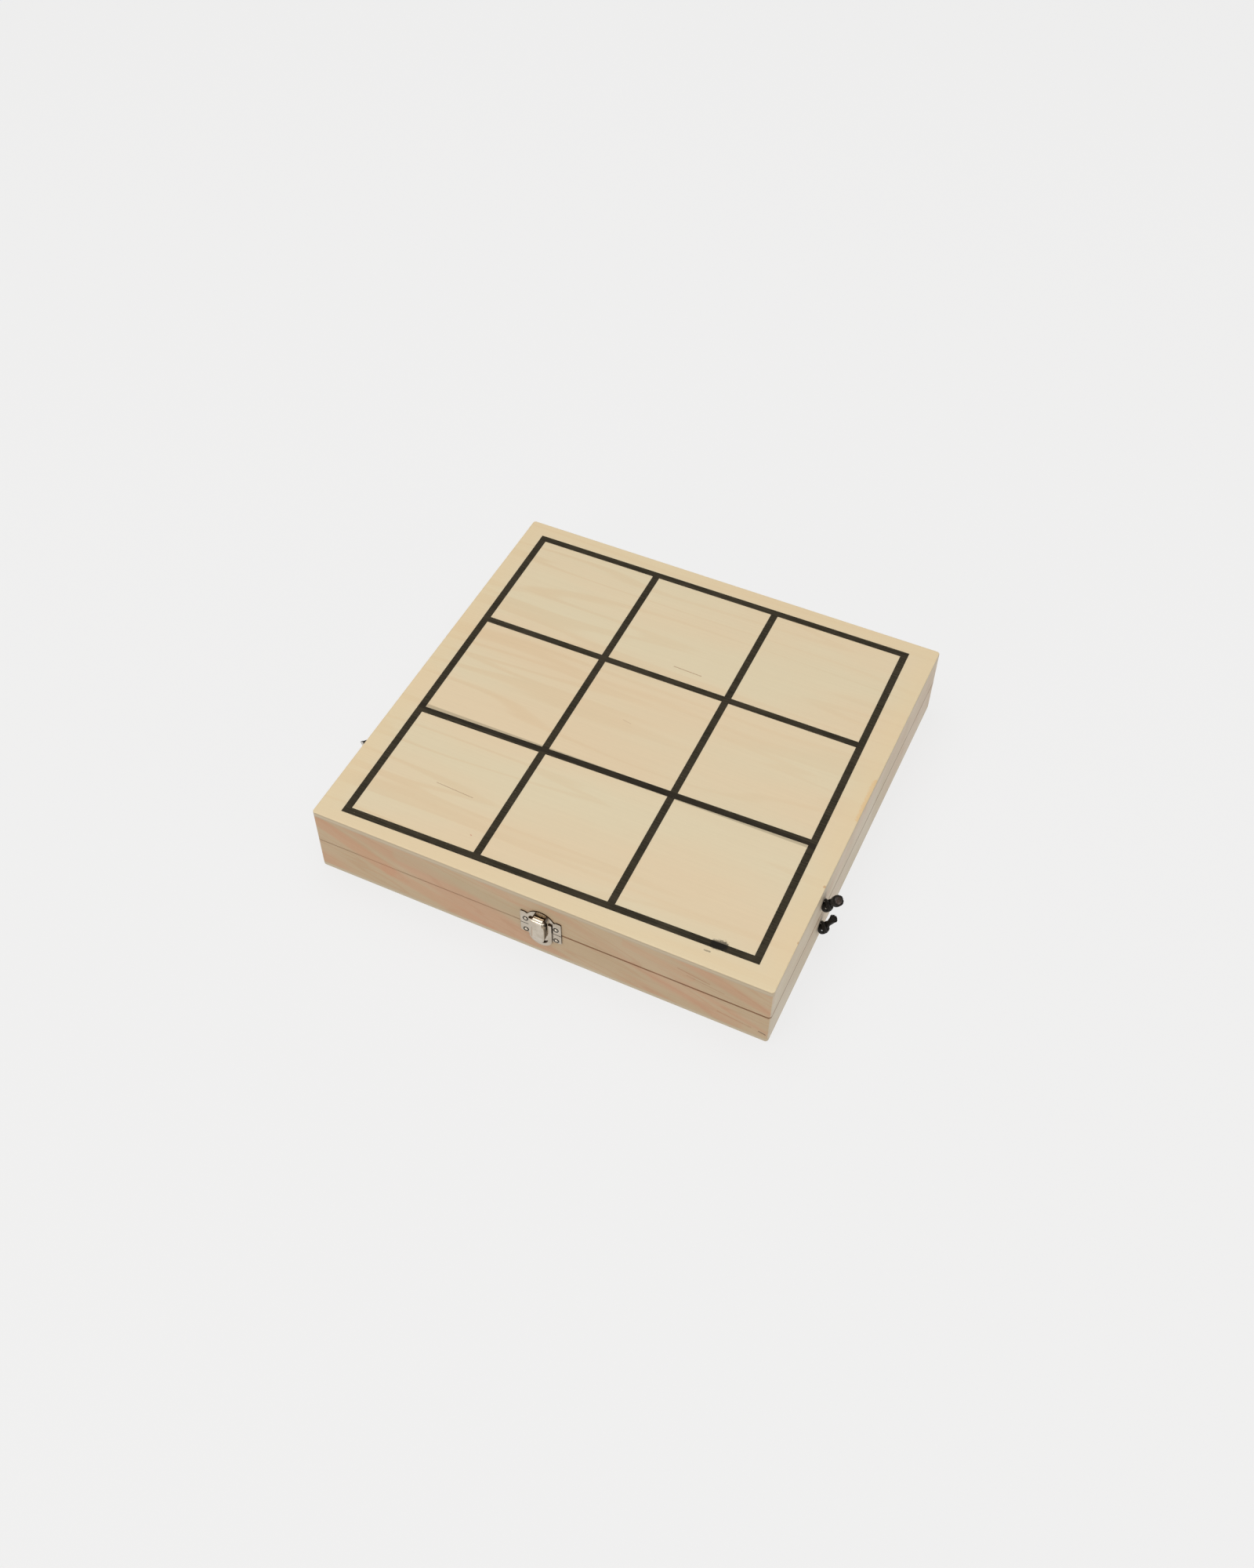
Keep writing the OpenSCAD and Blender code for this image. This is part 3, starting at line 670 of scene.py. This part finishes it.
light_beech = beech("clear beech", (0.66, 0.47, 0.29), (0.56, 0.38, 0.22))
black_beech = beech("black stained beech", (0.020, 0.018, 0.016), (0.012, 0.011, 0.010))
print("puck finishes:", light_beech.name, "and", black_beech.name)


# %% [markdown]
# ## Finishing the frame's own pieces
#
# Real edges are never razor sharp: a small bevel catches a line of light and
# tells the eye how big the thing is. The frame's meshes stay as they are. A
# modifier first joins coplanar triangles, then rounds what is left.


# %% Dress the frame's pieces
WOOD_EDGE, SHEET_EDGE = 0.15 * MM, 0.10 * MM
FLAT_ANGLE, SHARP_ANGLE = radians(0.6), radians(40)


def dress(node, material, edge_width=None):
    """Gives a frame piece its finish and, if asked, softer edges."""
    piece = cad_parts[node]
    piece.data.materials.clear()
    piece.data.materials.append(material)
    if edge_width:
        flatten = piece.modifiers.new("join flat faces", "DECIMATE")
        flatten.decimate_type = "DISSOLVE"
        flatten.angle_limit = FLAT_ANGLE
        rounding = piece.modifiers.new("round edges", "BEVEL")
        rounding.width = edge_width
        rounding.segments = 2
        rounding.limit_method = "ANGLE"
        rounding.angle_limit = SHARP_ANGLE


for half in ("base", "lid"):
    for where in ("front", "back"):
        dress(f"{half}_{where}_rail", pine_along_x, WOOD_EDGE)
    for where in ("left", "right"):
        dress(f"{half}_{where}_rail", pine_along_y, WOOD_EDGE)
dress("board_print", ink)
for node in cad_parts:
    if node.endswith(("_plate", "_leaf")):
        dress(node, nickel_sheet, SHEET_EDGE)
    elif "hinge" in node or "hasp" in node:
        dress(node, nickel)
    elif node.startswith("light_puck"):
        dress(node, light_beech)
    elif node.startswith("dark_puck"):
        dress(node, black_beech)
print("dressed", len(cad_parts), "frame pieces")

# %% [markdown]
# ## Rounded panels
#
# A panel is sanded round on its outer face alone, for the other face is glued
# to the rails. A modifier would round both, so each panel gets a copy whose
# outer edges are rounded in mesh code, and the copy stands for the frame's.


# %% Round the panels
WELD_GAP, FACE_GAP = 0.001 * MM, 0.1 * MM
RIM_SHARE = 0.98


def piece_from(mesh, name, materials, body):
    """Turns a bmesh into an object that rides on a body."""
    bmesh.ops.recalc_face_normals(mesh, faces=mesh.faces)
    data = bpy.data.meshes.new(name)
    mesh.to_mesh(data)
    mesh.free()
    piece = bpy.data.objects.new(name, data)
    scene.collection.objects.link(piece)
    for material in materials:
        data.materials.append(material)
    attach(piece, body)
    return piece


def sanded_panel(half, outer_z, radius):
    """A copy of a panel with the rim of its outer face rounded."""
    mesh = bmesh.new()
    mesh.from_mesh(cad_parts[half + "_panel"].data)
    bmesh.ops.remove_doubles(mesh, verts=mesh.verts, dist=WELD_GAP)
    bmesh.ops.dissolve_limit(mesh, angle_limit=FLAT_ANGLE, verts=mesh.verts, edges=mesh.edges)
    rim = []
    for edge in mesh.edges:
        start, end = (v.co for v in edge.verts)
        outer = all(abs(place.z - outer_z) < FACE_GAP for place in (start, end))
        if outer and max(abs(start.x) / HALF_W, abs(start.y) / HALF_D) > RIM_SHARE:
            rim.append(edge)
    made = bmesh.ops.bevel(mesh, geom=rim, offset=radius, offset_type="OFFSET", segments=4,
                           profile=0.5, affect="EDGES", clamp_overlap=True)
    for face in made["faces"]:
        face.smooth = True
    piece = piece_from(mesh, half + "_sanded_panel", (plywood,), half)
    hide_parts(half + "_panel")
    print(half, "panel: rounded", len(rim), "rim edges")


sanded_panel("base", outer_z=0.0, radius=1.8 * MM)
sanded_panel("lid", outer_z=BOX_H, radius=0.8 * MM)

# %% [markdown]
# ## Tubes
#
# Cords, strands and rings of dirt are all tubes: a circle carried along a path.
# Each new circle keeps the last one's direction as nearly as it can, so that
# the tube doesn't twist, and the length so far becomes the second texture
# coordinate, for the braid.


# %% Sweep tubes
def turned(angle, side, other):
    """The direction at an angle from one direction towards another."""
    return cos(angle) * side + sin(angle) * other


def tube(mesh, path, radii, sides, closed=False):
    """Adds a tube along a path to a bmesh: its rings of vertices."""
    uv = mesh.loops.layers.uv.verify()
    count = len(path)
    tangents = []
    for i, place in enumerate(path):
        before = path[i - 1] if i or closed else place
        after = path[(i + 1) % count] if i < count - 1 or closed else place
        tangents.append((after - before).normalized())
    across = tangents[0].orthogonal().normalized()
    rings, run, length = [], [], 0.0
    for i, (place, ahead) in enumerate(zip(path, tangents)):
        if i:
            length += (place - path[i - 1]).length
        across = (across - ahead * across.dot(ahead)).normalized()
        other = ahead.cross(across)
        rings.append([mesh.verts.new(place + radii[i] * turned(tau * k / sides, across, other))
                      for k in range(sides)])
        run.append(length)
    for i in range(count if closed else count - 1):
        first, second = rings[i], rings[(i + 1) % count]
        far, turn = run[(i + 1) % count], 0
        if i == count - 1:
            # A closed tube comes back a little turned, so its nearest vertices are joined.
            far = length + (path[0] - path[-1]).length
            turn = min(range(sides), key=lambda k: (second[k].co - first[0].co).length)
        for k in range(sides):
            j = (k + 1) % sides
            quad = mesh.faces.new((first[k], first[j],
                                   second[(j + turn) % sides], second[(k + turn) % sides]))
            quad.smooth = True
            corners = ((k, run[i]), (k + 1, run[i]), (k + 1, far), (k, far))
            for loop, (step, height) in zip(quad.loops, corners):
                loop[uv].uv = (step / sides, height)
    if not closed:
        mesh.faces.new(rings[0][::-1])
        mesh.faces.new(rings[-1])
    return rings


def bend(start, middle, end, steps):
    """Points on a smooth arc that leaves start towards middle and arrives at end."""
    shares = [i / steps for i in range(steps + 1)]
    return [start * (1 - t) ** 2 + middle * 2 * t * (1 - t) + end * t * t for t in shares]


# %% [markdown]
# ## The elastic cords
#
# Each cord runs straight through the side rails and is held outside by an
# overhand knot. A knot's turns follow a trefoil: a curve that goes twice round
# the cord while it swings three times in and out, and up and down. The tail
# goes on from the knot and spreads where it was cut. One cut was melted into a
# glossy bead, and another shows its pale rubber strands.

# %% Knot the cords
random.seed(7)
CORD_R = 1.2 * MM
# The knot's cord is pulled thinner. Its trefoil has a mean reach, swings in and
# out by one measure, and lifts off the rail and back by another.
KNOT_R = 1.056 * MM
KNOT_SPREAD = 2.534 * MM
KNOT_SWING = 1.162 * MM
KNOT_LIFT = 2.006 * MM
KNOT_GAP = 0.1 * MM
KNOT_X = HALF_W + KNOT_LIFT + KNOT_R + KNOT_GAP
KNOT_STEPS = 120
CORD_HALF_STEPS = 24
CORD_SIDES, KNOT_SIDES, TAIL_SIDES = 20, 16, 20
TAIL_STEPS = 16
FRAYED = 0.9 * MM
TAIL_SAG = 0.5 * MM
THREADS, THREAD_RADII = 15, (0.32 * MM, 0.28 * MM, 0.12 * MM)
STRANDS, STRAND_RADII = 16, (0.28 * MM, 0.26 * MM)
GOLDEN_ANGLE = 2.4
BEAD_STEPS = 6
rail_low, rail_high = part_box("base_left_rail")
CORD_Z = {"base": (rail_low.z + rail_high.z) / 2}
CORD_Z["lid"] = BOX_H - CORD_Z["base"]
CORD_Y = -66 * MM
# Places in a cord's list of materials, where the braid comes first.
MELTED, RUBBER = 1, 2
print("cord heights in mm:", {half: round(z / MM, 2) for half, z in CORD_Z.items()})


def trefoil(centre):
    """The closed run of an overhand knot, flat against its rail."""
    side = 1 if centre.x > 0 else -1
    points = []
    for i in range(KNOT_STEPS):
        a = tau * i / KNOT_STEPS
        reach = KNOT_SPREAD + KNOT_SWING * cos(3 * a)
        swing = Vector((side * KNOT_LIFT * sin(3 * a), reach * cos(2 * a), reach * sin(2 * a)))
        points.append(centre + swing)
    return points


def recolour(mesh, first, slot):
    """Gives the faces made since the first one their own material."""
    mesh.faces.ensure_lookup_table()
    for face in mesh.faces[first:]:
        face.material_index = slot


def swelling(cut):
    """How far a tail has spread at each step of its path, 0 to 1."""
    shares = [i / TAIL_STEPS for i in range(TAIL_STEPS + 1)]
    if cut == "melted":
        return [sin(pi / 2 * min(1.0, max(0.0, share - 0.42) / 0.34)) for share in shares]
    return [share ** 1.3 for share in shares]


def fray(mesh, end, ahead, side, other, rim):
    """Short threads of the braid that stand out round a cut."""
    for k in range(THREADS):
        out = turned(tau * (k + random.random() * 0.6) / THREADS, side, other)
        root = end + out * rim * 0.92 - ahead * 0.5 * MM
        tip = root + ahead * random.uniform(0.7, 1.3) * MM + out * random.uniform(-0.1, 0.25) * MM
        tube(mesh, [root, (root + tip) / 2 + out * 0.1 * MM, tip], THREAD_RADII, 6)


def melted_bead(mesh, end, ahead, rim):
    """The dome of a cut that was melted."""
    angles = [pi / 2 * i / BEAD_STEPS for i in range(BEAD_STEPS + 1)]
    tube(mesh, [end + ahead * (0.9 * sin(a) - 0.3) * MM for a in angles],
         [rim * 0.80 * max(cos(a), 0.03) for a in angles], 24)


def rubber_strands(mesh, end, ahead, side, other, rim):
    """The rubber core of a cut: a short plug, and strands that stand out of it."""
    tube(mesh, [end - ahead * 0.6 * MM, end + ahead * 0.1 * MM, end + ahead * 0.35 * MM],
         [rim * share for share in (0.90, 0.88, 0.70)], TAIL_SIDES)
    for k in range(STRANDS):
        reach = rim * 0.78 * ((k + 0.5) / STRANDS) ** 0.5
        out = turned(k * GOLDEN_ANGLE, side, other)
        root = end + out * reach * 0.8 - ahead * 0.8 * MM
        tip = end + out * reach + ahead * random.uniform(0.2, 0.9) * MM
        tube(mesh, [root, tip], STRAND_RADII, 7)


def tail(mesh, centre, run, flare, cut, turned_to=None):
    """A tail from a knot's middle, spread at its cut end.

    The cut looks the way the tail runs, or another way if one is given.
    """
    ahead = run.normalized()
    length = run.length - FRAYED
    end = centre + ahead * length
    if turned_to:
        ahead = turned_to.normalized()
    side = ahead.orthogonal().normalized()
    other = ahead.cross(side)
    middle = end - ahead * length * 0.5
    if not turned_to:
        middle = centre + ahead * length * 0.5 + side * TAIL_SAG
    rim = flare * (0.96 if cut == "melted" else 0.90)
    rings = tube(mesh, bend(centre, middle, end, TAIL_STEPS),
                 [KNOT_R + (rim - KNOT_R) * share for share in swelling(cut)], TAIL_SIDES)
    for vertex in rings[-1]:
        vertex.co += ahead * random.uniform(-0.7, 0.5) * MM
    fray(mesh, end, ahead, side, other, rim)
    first = len(mesh.faces)
    if cut == "melted":
        melted_bead(mesh, end, ahead, rim)
        recolour(mesh, first, MELTED)
    elif cut == "strands":
        rubber_strands(mesh, end, ahead, side, other, rim)
        recolour(mesh, first, RUBBER)


def elastic(half, left, right):
    """One elastic cord with two knots.

    A tail is how far it goes outwards, back and up, its flare and its cut, and
    if need be the way that the cut looks.
    """
    z = CORD_Z[half]
    mesh = bmesh.new()
    straight = [Vector((KNOT_X * i / CORD_HALF_STEPS, CORD_Y, z))
                for i in range(-CORD_HALF_STEPS, CORD_HALF_STEPS + 1)]
    tube(mesh, straight, [CORD_R] * len(straight), CORD_SIDES)
    for side, (out, back, up, flare, cut, *turned_to) in ((-1, left), (1, right)):
        centre = Vector((side * KNOT_X, CORD_Y, z))
        tube(mesh, trefoil(centre), [KNOT_R] * KNOT_STEPS, KNOT_SIDES, closed=True)
        tail(mesh, centre, Vector((side * out, back, up)) * MM, flare * MM, cut, *turned_to)
    piece = piece_from(mesh, half + "_braided_cord", (braid, melted, rubber), half)
    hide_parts(half + "_elastic")
    return piece


TO_FRONT_LEFT = Vector((-0.45, -0.89, 0.08))
cords = [elastic("base", (6, -2, 6, 2.4, "plain"), (4.6, 3, 9, 2.8, "plain")),
         elastic("lid", (8.3, -7, -5.6, 2.7, "strands", TO_FRONT_LEFT),
                 (6.3, -1.6, 11, 3.55, "melted"))]
print("cords:", {piece.name: len(piece.data.polygons) for piece in cords})

# %% [markdown]
# ## Painted shade round the tacks and in the cross recesses
#
# A dark ring round each tack of the hasp, and a dark line in the gap between
# its two plates, are painted shade. Each hinge screw has a cross recess, painted
# as a dark plus for the shade in it.


# %% Add the small metal details
COPY_GAP = 1.0 * MM
RING_R, RING_THICKNESS, RING_OUT, RING_STEPS = 1.60 * MM, 0.27 * MM, 0.84 * MM, 32
SEAM_LENGTH, SEAM_THICKNESS, SEAM_OUT, SEAM_DROP = 5.2 * MM, 0.21 * MM, 0.74 * MM, 0.25 * MM
CROSS_ARM, CROSS_DEPTH = 0.95 * MM, 0.10 * MM
CROSS_RADII = (0.13 * MM, 0.20 * MM, 0.13 * MM)


def clusters(node, gap):
    """The boxes of a node's separate copies, told apart by their gaps along X and Z."""
    left = [v.co.copy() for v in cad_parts[node].data.vertices]
    found = []
    while left:
        group, left = [left[0]], left[1:]
        grown = True
        while grown:
            near = [p for p in left
                    if any(abs(p.x - q.x) < gap and abs(p.z - q.z) < gap for q in group)]
            left = [p for p in left if p not in near]
            group += near
            grown = bool(near)
        found.append([Vector(extreme(p[i] for p in group) for i in range(3))
                      for extreme in (min, max)])
    return found


details = []
for body in ("lid", "base"):
    mesh = bmesh.new()
    plate_low, plate_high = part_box(f"hasp_{body}_plate")
    # A dark ring round each tack, as painted shade.
    for low, high in clusters(f"hasp_{body}_tacks", COPY_GAP):
        middle = (low + high) / 2
        circle = []
        for i in range(RING_STEPS):
            a = tau * i / RING_STEPS
            circle.append(Vector((middle.x + RING_R * cos(a), -HALF_D - RING_OUT,
                                  middle.z + RING_R * sin(a))))
        tube(mesh, circle, [RING_THICKNESS] * RING_STEPS, 8, closed=True)
    # A dark line in the gap between the two plates, as painted shade.
    if body == "base":
        for edge, inner in ((plate_low.x, plate_low.x + SEAM_LENGTH),
                            (plate_high.x, plate_high.x - SEAM_LENGTH)):
            seam = [Vector((x, -HALF_D - SEAM_OUT, PARTING_Z - SEAM_DROP))
                    for x in (edge, (edge + inner) / 2, inner)]
            tube(mesh, seam, [SEAM_THICKNESS] * len(seam), 8)
    details.append(piece_from(mesh, f"hasp_{body}_plate_shade", (painted_shade,), body))
for side in ("left", "right"):
    for body in ("base", "lid"):
        mesh = bmesh.new()
        for low, high in clusters(f"{side}_hinge_{body}_screws", COPY_GAP):
            middle = (low + high) / 2
            # A dark plus in the cross recess, as painted shade.
            at = Vector((middle.x, high.y - CROSS_DEPTH, middle.z))
            for arm in (Vector((CROSS_ARM, 0, 0)), Vector((0, 0, CROSS_ARM))):
                tube(mesh, [at - arm, at, at + arm], CROSS_RADII, 6)
        details.append(piece_from(mesh, f"{side}_hinge_{body}_recesses", (painted_shade,), body))
print("details:", {piece.name: len(piece.data.polygons) for piece in details})
